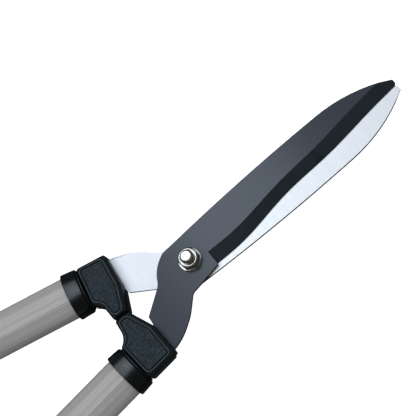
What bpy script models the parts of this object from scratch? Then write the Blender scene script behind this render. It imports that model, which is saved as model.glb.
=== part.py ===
"""Hedge shears: two blades on one pivot, moulded casings, oval tubes and grips.

Frame: metres. The pivot axis is the Z axis. +Y points to the blade tips, +X to the right handle
(the one that carries the top blade) and +Z to the cap nut. The origin is on the pivot axis, in the
flat lower face of the pivot bolt's head. The shears are closed.
"""

import math

import bmesh
import bpy
from mathutils import Matrix, Vector

MM = 0.001
GAP = 0.3 * MM  # running or assembly clearance between neighbouring pieces
RIGHT, LEFT = 1, -1

# Blades
PLATE = 3.5 * MM
BLADE_TIP_Y = 217.0 * MM
SPINE_REACH = 23.35 * MM  # the spine's greatest distance from the centre line
SPINE_WIDEST_Y = 112.0 * MM
SPINE_RADIUS = 1940.0 * MM
SPINE_START_Y = -9.0 * MM
TIP_ARC_START_Y = 152.0 * MM
TIP_ARC_RADIUS = 143.0 * MM
TIP_CORNER = 1.5 * MM  # how far the blunt tip's corners are cut back
BEVEL_START_Y = 15.0 * MM
EDGE_THICKNESS = 0.5 * MM
EDGE_OFFSET = 18.04 * MM
EDGE_SLOPE = 0.0829
WAVE_HEIGHT = 2.0 * MM
WAVE_FADE = 0.0084
WAVE_LENGTH = 104.0 * MM
WAVE_CREST_Y = 45.8 * MM
BEVEL_WIDTH = 10.9 * MM
BEVEL_WAVE_HEIGHT = 0.8 * MM
BEVEL_WAVE_LENGTH = 165.0 * MM
BEVEL_NARROW_Y = 92.0 * MM
EDGE_STEPS = 44  # straight pieces along the wavy edge
SPINE_STEPS = 28  # straight pieces along the spine

# Pivot stack
HEAD_THICKNESS = 3.55 * MM
HEAD_RADIUS = 10.0 * MM
NECK_SIDE = 10.0 * MM
SHOULDER_RADIUS = 5.0 * MM
THREAD_RADIUS = 4.0 * MM
BUSH_RADIUS = 7.0 * MM
WASHER_RADIUS = 9.9 * MM
WASHER_THICKNESS = 1.5 * MM
WASHER_SLOPE = 0.5 * MM  # how far its top falls towards the rim
WASHER_FLAT_RADIUS = 7.4 * MM
NUT_ACROSS_FLATS = 16.0 * MM
NUT_TURN = math.radians(8)  # direction of one of the hexagon's corners
NUT_HEX_HEIGHT = 7.5 * MM
NUT_DOME_RADIUS = 5.9 * MM
NUT_DOME_POWER = 4.5  # 2 gives a half sphere, more a flatter crown
NUT_RING_RADIUS = 7.3 * MM  # outer edge of the flat ring round the dome
NUT_HEIGHT = 14.0 * MM
THREAD_ABOVE_WASHER = 9.5 * MM
NUT_BORE_DEPTH = NUT_HEIGHT - 2.4 * MM
BLADE_PLANE_Z = HEAD_THICKNESS + GAP + PLATE + GAP / 2  # height of the plane where the blades meet

# Casings, in a handle frame whose origin is the middle of the nose contact
NOSE_Y = -70.0 * MM
HANDLE_TURN = math.radians(4.2)  # the handles' centre line against the blades' centre line
CASING_TOP = 12.0 * MM
CASING_BOTTOM = -10.0 * MM
CASING_CHAMFER = 2.6 * MM
CASING_WALL = 2.6 * MM
FRONT_CORNER = (50.2, 16.3, 2.4)  # outer front corner of a shell: x, y and radius in mm
FRONT_CORNER_RIGHT_TOP = (50.6, 19.2, 1.6)  # the right upper shell reaches further over its tang
KINK_X = 22.3  # mm, where the front edge turns towards the nose
KINK_Y = {(RIGHT, True): 16.4, (LEFT, False): 14.9, (RIGHT, False): 14.1, (LEFT, True): 14.1}
NOSE_FACE_X = 0.9 * MM
BUMPER_LOW = (GAP / 2, -4.6 * MM, -4.0 * MM)  # corners of the rubber stop's block
BUMPER_HIGH = (4.4 * MM, 3.2 * MM, 6.0 * MM)
SCREW_RADIUS = 2.0 * MM
SCREW_HEAD_RADIUS = 3.8 * MM
SCREW_HEAD_HEIGHT = 2.4 * MM
BOSS_RADIUS = 4.3 * MM
BLIND_HOLE_ROOF = 2.2 * MM  # plastic left over a screw hole's blind end
SCREW_SPOTS = {  # name: (x, y) in the handle frame, in metres
    "tang_inner": (30.0 * MM, 8.0 * MM),
    "tang_outer": (43.0 * MM, 8.5 * MM),
    "plug": (37.0 * MM, -5.5 * MM),
    "nose": (13.0 * MM, 0.5 * MM),
}

# Handles, in a tube frame whose local -Y runs along the tube from the collar's front face
COLLAR_FRONT = (37.9 * MM, -14.2 * MM)
SPLAY = math.radians(9.3)
TUBE_AXIS_Z = 1.0 * MM
TUBE_HALF = (17.6 * MM, 13.8 * MM)  # half width, half height
TUBE_WALL = 1.5 * MM
TUBE_START = 1.8 * MM
TUBE_LENGTH = 300.0 * MM
COLLAR_LENGTH = 12.6 * MM
COLLAR_FRONT_HALF = (19.0 * MM, 15.4 * MM)
COLLAR_REAR_HALF = (20.0 * MM, 16.5 * MM)
PLUG_LENGTH = 38.0 * MM
PLUG_NECK_HALF = (10.0 * MM, 5.0 * MM)
PIN_RADIUS = 2.0 * MM
PIN_PLACE = 7.0 * MM
SPIGOT_LENGTH = 17.0 * MM
LEAD_IN = 0.8 * MM  # taper on an end that is pushed into the tube
GRIP_START = 166.0 * MM
GRIP_LENGTH = 136.0 * MM
CAP_THICKNESS = 4.0 * MM
ROUND_STEPS = 28  # sides of a round piece
OVAL_STEPS = 32  # sides of a tube or collar
HOLE_STEPS = 14  # sides of a small hole
THROUGH = 1.0 * MM  # how far a cutter runs past the face that it cuts


# ---------------------------------------------------------------- shapes


def clear_scene():
    for obj in list(bpy.data.objects):
        bpy.data.objects.remove(obj, do_unlink=True)


def material(name, colour, roughness, metallic=0.0):
    """A Principled material, made once for each name."""
    found = bpy.data.materials.get(name)
    if found:
        return found
    made = bpy.data.materials.new(name)
    made.use_nodes = True
    shader = made.node_tree.nodes["Principled BSDF"]
    shader.inputs["Base Color"].default_value = (*colour, 1.0)
    shader.inputs["Roughness"].default_value = roughness
    shader.inputs["Metallic"].default_value = metallic
    made.diffuse_color = (*colour, 1.0)
    return made


def empty(name, parent, location, turn=0.0):
    made = bpy.data.objects.new(name, None)
    bpy.context.scene.collection.objects.link(made)
    made.parent = parent
    made.location = location
    made.rotation_euler = (0.0, 0.0, turn)
    return made


def add_object(name, bm, parent, finish=None):
    """Turns a bmesh into a named object; without a finish it is a hidden cutter."""
    bmesh.ops.recalc_face_normals(bm, faces=bm.faces)
    mesh = bpy.data.meshes.new(name)
    bm.to_mesh(mesh)
    bm.free()
    obj = bpy.data.objects.new(name, mesh)
    bpy.context.scene.collection.objects.link(obj)
    obj.parent = parent
    if finish is None:
        obj.hide_render = True
        obj.display_type = "WIRE"
    else:
        mesh.materials.append(finish)
        mesh.shade_smooth()
        mesh.set_sharp_from_angle(angle=math.radians(30))
    return obj


def combine(obj, tool, operation):
    """Adds a Boolean modifier that joins the tool to the object or cuts it away."""
    modifier = obj.modifiers.new(tool.name, "BOOLEAN")
    modifier.operation = operation
    modifier.object = tool
    modifier.solver = "EXACT"


def cut(obj, name, bm):
    combine(obj, add_object(name, bm, obj.parent), "DIFFERENCE")


def join(obj, name, bm):
    combine(obj, add_object(name, bm, obj.parent), "UNION")


def loft(sections):
    """A closed solid through rings of points with equal counts, capped at both ends."""
    bm = bmesh.new()
    rings = [[bm.verts.new(point) for point in section] for section in sections]
    count = len(rings[0])
    for low, high in zip(rings, rings[1:]):
        for i in range(count):
            j = (i + 1) % count
            bm.faces.new((low[i], low[j], high[j], high[i]))
    bm.faces.new(rings[0][::-1])
    bm.faces.new(rings[-1])
    return bm


def prism(outline, bottom, top):
    return loft([[(x, y, z) for x, y in outline] for z in (bottom, top)])


def cylinder(centre, radius, bottom, top, steps=ROUND_STEPS):
    return prism(circle(centre, radius, steps), bottom, top)


def box(low, high):
    corners = [(low[0], low[1]), (high[0], low[1]), (high[0], high[1]), (low[0], high[1])]
    return prism(corners, low[2], high[2])


def circle(centre, radius, steps=ROUND_STEPS, start=0.0):
    angles = [start + 2 * math.pi * i / steps for i in range(steps)]
    return [(centre[0] + radius * math.cos(a), centre[1] + radius * math.sin(a)) for a in angles]


def turned(profile, steps=ROUND_STEPS):
    """A solid turned round the Z axis from (radius, z) points, bottom to top."""
    return loft([[(x, y, z) for x, y in circle((0, 0), radius, steps)] for radius, z in profile])


def oval_ring(half, along, steps, power=2.3):
    """One cross-section of a handle piece: a slightly squared oval at local y = -along."""
    points = []
    for i in range(steps):
        a = 2 * math.pi * i / steps
        c, s = math.cos(a), math.sin(a)
        x = half[0] * math.copysign(abs(c) ** (2 / power), c)
        z = half[1] * math.copysign(abs(s) ** (2 / power), s)
        points.append((x, -along, z))
    return points


def oval_solid(stations, steps=OVAL_STEPS):
    """A solid along the tube axis through (distance, (half width, half height)) stations."""
    return loft([oval_ring(half, along, steps) for along, half in stations])


def grown(half, amount):
    return (half[0] + amount, half[1] + amount)


def inset_corners(corners, distance):
    """Moves each side of an anticlockwise (x, y, radius) outline inwards by a distance."""
    moved = []
    count = len(corners)
    for i, (x, y, radius) in enumerate(corners):
        here = Vector((x, y))
        before = (here - Vector(corners[i - 1][:2])).normalized()
        after = (Vector(corners[(i + 1) % count][:2]) - here).normalized()
        bisector = Vector((-before.y - after.y, before.x + after.x)).normalized()
        reach = distance / max(0.2, bisector.dot(Vector((-before.y, before.x))))
        point = here + bisector * reach
        turn = before.x * after.y - before.y * after.x
        new_radius = max(0.3 * MM, radius - distance) if turn > 0 else radius + distance
        moved.append((point.x, point.y, new_radius))
    return moved


def corner_arc(before, corner, after, steps):
    """The points of the arc that rounds an (x, y, radius) corner between two neighbours."""
    here = Vector(corner[:2])
    radius = corner[2]
    to_before = (Vector(before[:2]) - here).normalized()
    to_after = (Vector(after[:2]) - here).normalized()
    half_angle = to_before.angle(to_after) / 2
    centre = here + (to_before + to_after).normalized() * (radius / math.sin(half_angle))
    start = here + to_before * (radius / math.tan(half_angle)) - centre
    end = here + to_after * (radius / math.tan(half_angle)) - centre
    points = []
    for k in range(steps + 1):
        arm = start.slerp(end, k / steps, start)
        point = centre + arm * (radius / arm.length)
        points.append((point.x, point.y))
    return points


def rounded(corners, steps=4):
    """The points of a closed (x, y, radius) outline with each corner drawn as an arc."""
    points = []
    count = len(corners)
    for i, corner in enumerate(corners):
        points += corner_arc(corners[i - 1], corner, corners[(i + 1) % count], steps)
    return points


def rounded_run(first, corners, last, steps=6):
    """As rounded, for a run of corners between two plain end points that it leaves out."""
    run = [first, *corners, last]
    points = []
    for before, corner, after in zip(run, run[1:], run[2:]):
        points += corner_arc(before, corner, after, steps)
    return points


def mirrored(bm, side):
    """Mirrors a piece of the right handle for the left one."""
    if side == LEFT:
        bmesh.ops.transform(bm, matrix=Matrix.Scale(-1, 4, (1, 0, 0)), verts=bm.verts)
        bmesh.ops.reverse_faces(bm, faces=bm.faces)
    return bm


# ---------------------------------------------------------------- blades


def edge_x(y):
    """The wavy cutting edge: a slope with a long wave that fades towards the tip."""
    wave = WAVE_HEIGHT - WAVE_FADE * y
    phase = 2 * math.pi * (y - WAVE_CREST_Y) / WAVE_LENGTH
    return EDGE_OFFSET - EDGE_SLOPE * y + wave * math.cos(phase)


def bevel_width(y):
    phase = 2 * math.pi * (y - BEVEL_NARROW_Y) / BEVEL_WAVE_LENGTH
    return BEVEL_WIDTH - BEVEL_WAVE_HEIGHT * math.cos(phase)


def spine_x(y):
    """The spine, slightly bowed and then a tighter arc that runs in to the tip."""
    bow = (y - SPINE_WIDEST_Y) ** 2 / (2 * SPINE_RADIUS)
    past = max(0.0, y - TIP_ARC_START_Y)
    return -SPINE_REACH + bow + TIP_ARC_RADIUS - math.sqrt(TIP_ARC_RADIUS**2 - past**2)


def from_handle(point, side):
    """A handle-frame point in the blade plane, for the blade drawn as the right one."""
    turned_point = Matrix.Rotation(-side * HANDLE_TURN, 2) @ Vector(point)
    return (turned_point.x, turned_point.y + NOSE_Y)


def tang_tongue(side):
    """The hidden end of the tang, which lies in the casing."""
    corners = [(24.6, 12.6, 1.0), (24.6, 2.2, 2.0), (46.4, 2.2, 2.0), (46.4, 12.6, 0.5)]
    corners += [(48.0, 13.4, 0.5)]
    return [(*from_handle((x * MM, y * MM), side), radius * MM) for x, y, radius in corners]


def evenly(start, end, steps):
    return [start + (end - start) * i / steps for i in range(steps + 1)]


def blade_outline(side):
    """The blade in plan, anticlockwise, drawn as the right-hand one."""
    heel = [(-19.2, -14.2, 8.0), (-12.7, -27.1, 30.0), (-1.4, -32.5, 14.0)]
    heel += [(13.8, -54.8, 0.8), (20.8, -55.6, 0.4)]
    outer = [(45.5, -44.6, 50.0), (35.3, -28.4, 50.0), (22.3, -15.2, 7.0)]
    outer += [(21.1, -5.5, 10.0), (17.5, 14.5, 0.3)]
    heel_corners = [(x * MM, y * MM, radius * MM) for x, y, radius in heel]
    outer_corners = [(x * MM, y * MM, radius * MM) for x, y, radius in outer]
    spine_end = (spine_x(SPINE_START_Y), SPINE_START_Y)
    edge_start = (edge_x(BEVEL_START_Y), BEVEL_START_Y)
    lower = rounded_run(spine_end, heel_corners + tang_tongue(side) + outer_corners, edge_start)

    last_y = BLADE_TIP_Y - TIP_CORNER
    edge = [(edge_x(y), y) for y in evenly(BEVEL_START_Y, last_y, EDGE_STEPS)]
    spine = [(spine_x(y), y) for y in evenly(last_y, SPINE_START_Y, SPINE_STEPS)]
    tip = [(edge_x(last_y) - TIP_CORNER, BLADE_TIP_Y), (spine_x(last_y) + TIP_CORNER / 2, BLADE_TIP_Y)]
    return lower + edge + tip + spine


def bevel_cutter():
    """The wedge of metal that grinding takes off the outer face along the cutting edge."""
    sections = []
    reach = 3.0 * MM
    drop = PLATE - EDGE_THICKNESS
    for y in evenly(BEVEL_START_Y, BLADE_TIP_Y + reach, EDGE_STEPS):
        outer, width = edge_x(y), bevel_width(y)
        inner = outer - width
        slope = drop / width
        sections.append(
            [
                (inner - reach, y, PLATE + slope * reach),
                (outer + reach, y, EDGE_THICKNESS - slope * reach),
                (outer + reach, y, PLATE + slope * reach),
            ]
        )
    return loft(sections)


def blade(name, side, parent, finish):
    """A blade plate whose inner face lies half a clearance from the blade plane."""
    flip = Matrix.Identity(4) if side == RIGHT else Matrix.Rotation(math.pi, 4, "Y")
    seat = flip @ Matrix.Translation((0, 0, GAP / 2))

    def placed(bm):
        bmesh.ops.transform(bm, matrix=seat, verts=bm.verts)
        return bm

    obj = add_object(name, placed(prism(blade_outline(side), 0, PLATE)), parent, finish)
    cut(obj, name + "_bevel_cutter", placed(bevel_cutter()))
    if side == RIGHT:
        hole = cylinder((0, 0), BUSH_RADIUS + GAP, -THROUGH, PLATE + THROUGH)
    else:
        reach = NECK_SIDE / 2 + GAP
        hole = box((-reach, -reach, -THROUGH), (reach, reach, PLATE + THROUGH))
    cut(obj, name + "_pivot_cutter", placed(hole))
    for spot in ("tang_inner", "tang_outer"):
        centre = from_handle(SCREW_SPOTS[spot], side)
        hole = cylinder(centre, SCREW_RADIUS + GAP, -THROUGH, PLATE + THROUGH, HOLE_STEPS)
        cut(obj, name + "_" + spot + "_cutter", placed(hole))
    return obj


# ---------------------------------------------------------------- pivot


def pivot_bolt(parent, finish):
    """Round flat head, square neck for the bottom blade, shoulder and threaded end."""
    head_top = -GAP / 2 - PLATE - GAP
    head_bottom = head_top - HEAD_THICKNESS
    shoulder_top = GAP / 2 + PLATE + GAP / 2
    thread_top = shoulder_top + GAP + WASHER_THICKNESS + THREAD_ABOVE_WASHER
    chamfer = 0.8 * MM
    profile = [
        (HEAD_RADIUS - 1.5 * chamfer, head_bottom),
        (HEAD_RADIUS, head_bottom + 1.5 * chamfer),
        (HEAD_RADIUS, head_top),
        (SHOULDER_RADIUS, head_top),
        (SHOULDER_RADIUS, shoulder_top),
        (THREAD_RADIUS, shoulder_top),
        (THREAD_RADIUS, thread_top - chamfer),
        (THREAD_RADIUS - chamfer, thread_top),
    ]
    obj = add_object("pivot_bolt", turned(profile), parent, finish)
    half = NECK_SIDE / 2
    neck = box((-half, -half, head_top - THROUGH), (half, half, -GAP))
    join(obj, "neck_block", neck)


def pivot_bush(parent, finish):
    """The bearing sleeve in the top blade."""
    bottom = GAP / 2
    obj = add_object("pivot_bush", cylinder((0, 0), BUSH_RADIUS, bottom, bottom + PLATE), parent, finish)
    bore = cylinder((0, 0), SHOULDER_RADIUS + GAP, bottom - THROUGH, bottom + PLATE + THROUGH)
    cut(obj, "bush_bore_cutter", bore)


def pivot_washer(parent, finish):
    """A round washer whose top slopes down towards its rim."""
    bottom = GAP / 2 + PLATE + GAP
    top = bottom + WASHER_THICKNESS
    profile = [(WASHER_RADIUS, bottom), (WASHER_RADIUS, top - WASHER_SLOPE), (WASHER_FLAT_RADIUS, top)]
    obj = add_object("pivot_washer", turned(profile, 36), parent, finish)
    bore = cylinder((0, 0), THREAD_RADIUS + GAP, bottom - THROUGH, top + THROUGH)
    cut(obj, "washer_bore_cutter", bore)


def cap_nut(parent, finish):
    """A hexagon nut with chamfered corners and a domed cap over a blind thread."""
    bottom = GAP / 2 + PLATE + GAP + WASHER_THICKNESS + GAP
    corner = NUT_ACROSS_FLATS / math.sqrt(3)
    hexagon = circle((0, 0), corner, 6, NUT_TURN)
    obj = add_object("cap_nut", prism(hexagon, bottom, bottom + NUT_HEX_HEIGHT), parent, finish)
    blank = [
        (NUT_ACROSS_FLATS / 2, bottom - 0.01 * MM),
        (corner + 0.1 * MM, bottom + 0.9 * MM),
        (corner + 0.1 * MM, bottom + NUT_HEX_HEIGHT - 1.6 * MM),
        (NUT_ACROSS_FLATS / 2 - 0.3 * MM, bottom + NUT_HEX_HEIGHT - 0.6 * MM),
        (NUT_RING_RADIUS, bottom + NUT_HEX_HEIGHT + 0.01 * MM),
    ]
    combine(obj, add_object("nut_chamfer_tool", turned(blank, 36), parent), "INTERSECT")
    dome_base = bottom + NUT_HEX_HEIGHT - 1 * MM
    dome_centre = bottom + NUT_HEIGHT - NUT_DOME_RADIUS
    dome = [(NUT_DOME_RADIUS, dome_base)]
    for i in range(8):
        a = math.radians(12.0 * i)
        out = NUT_DOME_RADIUS * math.cos(a) ** (2 / NUT_DOME_POWER)
        rise = NUT_DOME_RADIUS * math.sin(a) ** (2 / NUT_DOME_POWER)
        dome.append((out, dome_centre + rise))
    join(obj, "nut_dome", turned(dome))
    bore = cylinder((0, 0), THREAD_RADIUS + GAP, bottom - THROUGH, bottom + NUT_BORE_DEPTH)
    cut(obj, "nut_bore_cutter", bore)


# ---------------------------------------------------------------- casings


def casing_corners(side, top):
    """A casing shell in plan, anticlockwise, with its concave inner curve."""
    corners = [
        (NOSE_FACE_X / MM, -7.3, 1.6),
        (16.6, -8.3, 13.0),
        (21.4, -15.0, 2.2),
        (54.5, -10.1, 3.2),
        FRONT_CORNER_RIGHT_TOP if side == RIGHT and top else FRONT_CORNER,
        (KINK_X, KINK_Y[side, top], 2.6),
        (NOSE_FACE_X / MM, 6.1, 1.6),
    ]
    return [(x * MM, y * MM, radius * MM) for x, y, radius in corners]


def shell_solid(side, corners, split, face, chamfer):
    """A half casing from its split plane to its outer face, with a chamfered outer rim."""
    up = 1 if face > split else -1
    levels = [(split, 0.0), (face - up * chamfer, 0.0), (face, chamfer)]
    sections = []
    for z, inset in levels:
        outline = rounded(inset_corners(corners, inset))
        sections.append([(x, y, z) for x, y in outline])
    return mirrored(loft(sections), side)


def casing_shell(name, side, top, parent, finish):
    """One half of a casing: hollow, with screw bosses and openings for what it clamps."""
    up = 1 if top else -1
    face = CASING_TOP if top else CASING_BOTTOM
    split = up * GAP / 2
    holds_tang = (side == RIGHT) == top
    corners = casing_corners(side, top)
    obj = add_object(name, shell_solid(side, corners, split, face, CASING_CHAMFER), parent, finish)

    roof = face - up * CASING_WALL
    hollow_outline = rounded(inset_corners(corners, CASING_WALL), 3)
    hollow = prism(hollow_outline, min(-up * MM, roof), max(-up * MM, roof))
    cut(obj, name + "_hollow_cutter", mirrored(hollow, side))

    for spot, centre in SCREW_SPOTS.items():
        boss_end = split
        if spot.startswith("tang") and holds_tang:
            boss_end = up * (GAP / 2 + PLATE + GAP)
        if spot == "plug":
            boss_end = TUBE_AXIS_Z + up * (PLUG_NECK_HALF[1] + GAP)
        low, high = sorted((boss_end, roof + up * CASING_WALL / 2))
        boss = cylinder(centre, BOSS_RADIUS, low, high, HOLE_STEPS + 2)
        join(obj, name + "_" + spot + "_boss", mirrored(boss, side))

    cut_casing_openings(obj, name, side, up, holds_tang)

    for spot, centre in SCREW_SPOTS.items():
        low, high = -THROUGH, CASING_TOP - BLIND_HOLE_ROOF
        if not top:
            low, high = CASING_BOTTOM - THROUGH, THROUGH
            seat = CASING_BOTTOM + SCREW_HEAD_HEIGHT + 2 * GAP
            recess = cylinder(centre, SCREW_HEAD_RADIUS + GAP, low, seat, HOLE_STEPS + 6)
            cut(obj, name + "_" + spot + "_recess", mirrored(recess, side))
        hole = cylinder(centre, SCREW_RADIUS + GAP, low, high, HOLE_STEPS)
        cut(obj, name + "_" + spot + "_hole", mirrored(hole, side))
    return obj


def cut_casing_openings(obj, name, side, up, holds_tang):
    """Openings for the tang in front, the plug's neck behind and the bumper in the nose."""
    if holds_tang:
        low, high = sorted((-up * MM, up * (GAP / 2 + PLATE + GAP)))
        slot = box((16.0 * MM, 11.5 * MM, low), (48.9 * MM, 21.0 * MM, high))
        cut(obj, name + "_tang_slot", mirrored(slot, side))
    neck_half = grown(PLUG_NECK_HALF, GAP)
    neck = oval_solid([(-6 * MM, neck_half), (2 * MM, neck_half)], 20)
    to_tube = Matrix.Translation((*COLLAR_FRONT, TUBE_AXIS_Z)) @ Matrix.Rotation(SPLAY, 4, "Z")
    bmesh.ops.transform(neck, matrix=to_tube, verts=neck.verts)
    cut(obj, name + "_neck_opening", mirrored(neck, side))
    clear = Vector((GAP, GAP, GAP))
    pocket = box(Vector(BUMPER_LOW) - clear, Vector(BUMPER_HIGH) + clear)
    cut(obj, name + "_bumper_pocket", mirrored(pocket, side))


def nose_bumper(name, side, parent, finish):
    """The rubber stop, with a rounded striking face."""
    low, high = Vector(BUMPER_LOW), Vector(BUMPER_HIGH)
    corners = [
        (low.x, low.y, 0.5 * MM),
        (high.x, low.y, 0.2 * MM),
        (high.x, high.y, 0.2 * MM),
        (low.x, high.y, 0.5 * MM),
    ]
    add_object(name, mirrored(prism(rounded(corners, 3), low.z, high.z), side), parent, finish)


def casing_screw(name, side, spot, parent, finish):
    """A pan-head screw driven from below."""
    x, y = SCREW_SPOTS[spot]
    head = CASING_BOTTOM + GAP
    seat = head + SCREW_HEAD_HEIGHT
    tip = CASING_TOP - BLIND_HOLE_ROOF - THROUGH
    profile = [
        (SCREW_HEAD_RADIUS - 0.7 * MM, head),
        (SCREW_HEAD_RADIUS, head + 0.7 * MM),
        (SCREW_HEAD_RADIUS, seat),
        (SCREW_RADIUS, seat),
        (SCREW_RADIUS, tip - 1.2 * MM),
        (0.6 * MM, tip),
    ]
    bm = turned(profile, HOLE_STEPS)
    bmesh.ops.translate(bm, vec=(side * x, y, 0), verts=bm.verts)
    add_object(name, bm, parent, finish)


# ---------------------------------------------------------------- handles


def tube_plug(name, side, parent, finish):
    """The moulded plug: a tongue for the casing, a neck, and a body inside the tube."""
    inner = grown(TUBE_HALF, -TUBE_WALL - GAP)
    lead = grown(inner, -LEAD_IN)
    stations = [(TUBE_START, inner), (PLUG_LENGTH - 2 * MM, inner), (PLUG_LENGTH, lead)]
    obj = add_object(name, oval_solid(stations, 24), parent, finish)
    neck = oval_solid([(-5 * MM, PLUG_NECK_HALF), (TUBE_START + 3 * MM, PLUG_NECK_HALF)], 20)
    join(obj, name + "_neck", neck)
    half_width, half_height = 11.0 * MM, PLUG_NECK_HALF[1]
    tongue = box((-half_width, 4.4 * MM, -half_height), (half_width, 13.2 * MM, half_height))
    join(obj, name + "_tongue", tongue)
    spot = Vector(SCREW_SPOTS["plug"]) - Vector(COLLAR_FRONT)
    screw_place = Matrix.Rotation(-SPLAY, 2) @ spot
    reach = TUBE_HALF[1] + THROUGH
    for place, label in ((screw_place, "_screw_hole"), ((0, -PIN_PLACE), "_pin_hole")):
        hole = cylinder(place, SCREW_RADIUS + GAP, -reach, reach, HOLE_STEPS)
        cut(obj, name + label, mirrored(hole, side))


def collar(name, parent, finish):
    """The ring over the tube's end, with a front lip round the plug's neck."""
    edge = 0.9 * MM
    stations = [
        (0.0, grown(COLLAR_FRONT_HALF, -edge)),
        (edge, COLLAR_FRONT_HALF),
        (COLLAR_LENGTH - edge, COLLAR_REAR_HALF),
        (COLLAR_LENGTH, grown(COLLAR_REAR_HALF, -edge)),
    ]
    obj = add_object(name, oval_solid(stations), parent, finish)
    bore = grown(TUBE_HALF, GAP)
    cut(obj, name + "_bore", oval_solid([(TUBE_START - GAP, bore), (COLLAR_LENGTH + THROUGH, bore)]))
    neck = grown(PLUG_NECK_HALF, GAP)
    cut(obj, name + "_lip", oval_solid([(-THROUGH, neck), (TUBE_START + THROUGH, neck)], 20))


def tube(name, parent, finish):
    """The oval handle tube, open at both ends."""
    end = TUBE_START + TUBE_LENGTH
    obj = add_object(name, oval_solid([(TUBE_START, TUBE_HALF), (end, TUBE_HALF)]), parent, finish)
    inner = grown(TUBE_HALF, -TUBE_WALL)
    cut(obj, name + "_bore", oval_solid([(TUBE_START - THROUGH, inner), (end + THROUGH, inner)]))
    reach = TUBE_HALF[1] + THROUGH
    hole = cylinder((0, -PIN_PLACE), PIN_RADIUS + GAP, -reach, reach, HOLE_STEPS)
    cut(obj, name + "_pin_hole", hole)


def tube_pin(name, parent, finish):
    """The cross pin that locks the tube to its plug, under the collar."""
    reach = TUBE_HALF[1] - 0.6 * MM
    add_object(name, cylinder((0, -PIN_PLACE), PIN_RADIUS, -reach, reach, HOLE_STEPS), parent, finish)


def grip(name, parent, finish):
    """The hand grip: a stop flange, a waist, a palm swell and a flared end."""
    shape = [(0, 21.5, 17.5), (1.5, 24, 20), (6, 24, 20), (13, 20.6, 17), (30, 20.9, 17.3)]
    shape += [(55, 22.2, 18.6), (82, 21.2, 17.6), (104, 20.9, 17.3), (122, 22.6, 19)]
    shape += [(131, 24, 20), (134.5, 24, 20), (136, 22.6, 18.6)]
    stations = [(GRIP_START + s * MM, (w * MM, h * MM)) for s, w, h in shape]
    obj = add_object(name, oval_solid(stations, ROUND_STEPS), parent, finish)
    bore = grown(TUBE_HALF, GAP)
    start = GRIP_START - THROUGH
    end = GRIP_START + GRIP_LENGTH + THROUGH
    cut(obj, name + "_bore", oval_solid([(start, bore), (end, bore)]))


def end_cap(name, parent, finish):
    """The cap: a flat button over the grip's end and a spigot inside the tube."""
    start = GRIP_START + GRIP_LENGTH + GAP
    half = (21.6 * MM, 17.6 * MM)
    edge = 1.2 * MM
    spigot = grown(TUBE_HALF, -TUBE_WALL - GAP)
    stations = [
        (start - SPIGOT_LENGTH, grown(spigot, -LEAD_IN)),
        (start - SPIGOT_LENGTH + 2 * LEAD_IN, spigot),
        (start, spigot),
        (start, half),
        (start + CAP_THICKNESS - edge, half),
        (start + CAP_THICKNESS, grown(half, -edge)),
    ]
    add_object(name, oval_solid(stations, ROUND_STEPS), parent, finish)


# ---------------------------------------------------------------- assembly


def build_pivot(parent):
    steel = material("plated_steel", (0.72, 0.72, 0.70), 0.22, 1.0)
    pivot_bolt(parent, steel)
    pivot_washer(parent, steel)
    cap_nut(parent, steel)


def build_handle(side, label, half):
    """Everything on one half of the shears behind its blade."""
    nylon = material("black_nylon", (0.025, 0.031, 0.038), 0.55)
    smooth = material("gloss_collar", (0.02, 0.022, 0.025), 0.28)
    paint = material("grey_paint", (0.36, 0.36, 0.36), 0.35)
    rubber = material("black_rubber", (0.015, 0.015, 0.016), 0.75)
    zinc = material("zinc_screw", (0.6, 0.6, 0.6), 0.35, 1.0)
    frame = empty(label + "_handle_frame", half, (0, NOSE_Y, 0), -HANDLE_TURN)
    casing_shell(label + "_casing_top", side, True, frame, nylon)
    casing_shell(label + "_casing_bottom", side, False, frame, nylon)
    nose_bumper(label + "_nose_bumper", side, frame, rubber)
    for spot in SCREW_SPOTS:
        casing_screw(label + "_" + spot + "_screw", side, spot, frame, zinc)
    place = (side * COLLAR_FRONT[0], COLLAR_FRONT[1], TUBE_AXIS_Z)
    axis = empty(label + "_tube_axis", frame, place, side * SPLAY)
    tube_plug(label + "_tube_plug", side, axis, nylon)
    collar(label + "_collar", axis, smooth)
    tube(label + "_tube", axis, paint)
    tube_pin(label + "_tube_pin", axis, zinc)
    grip(label + "_grip", axis, rubber)
    end_cap(label + "_end_cap", axis, nylon)


def main():
    clear_scene()
    coated = material("coated_steel", (0.09, 0.105, 0.13), 0.42, 0.6)
    bronze = material("bush_bronze", (0.55, 0.38, 0.18), 0.4, 1.0)
    left_half = empty("left_half", None, (0, 0, BLADE_PLANE_Z))
    right_half = empty("right_half", None, (0, 0, BLADE_PLANE_Z))
    blade("bottom_blade", LEFT, left_half, coated)
    blade("top_blade", RIGHT, right_half, coated)
    build_pivot(left_half)
    pivot_bush(right_half, bronze)
    build_handle(LEFT, "left", left_half)
    build_handle(RIGHT, "right", right_half)


main()
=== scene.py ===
"""Looks of the hedge shears: finer meshes, procedural materials, studio light and camera.

Frame: metres. The pivot axis is the Z axis, +Y points to the blade tips, +X to the right handle and
+Z to the cap nut. Every piece stands where its CAD node stands.
"""

import math

import bmesh
import bpy
from mathutils import Matrix, Vector, geometry, noise


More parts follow.
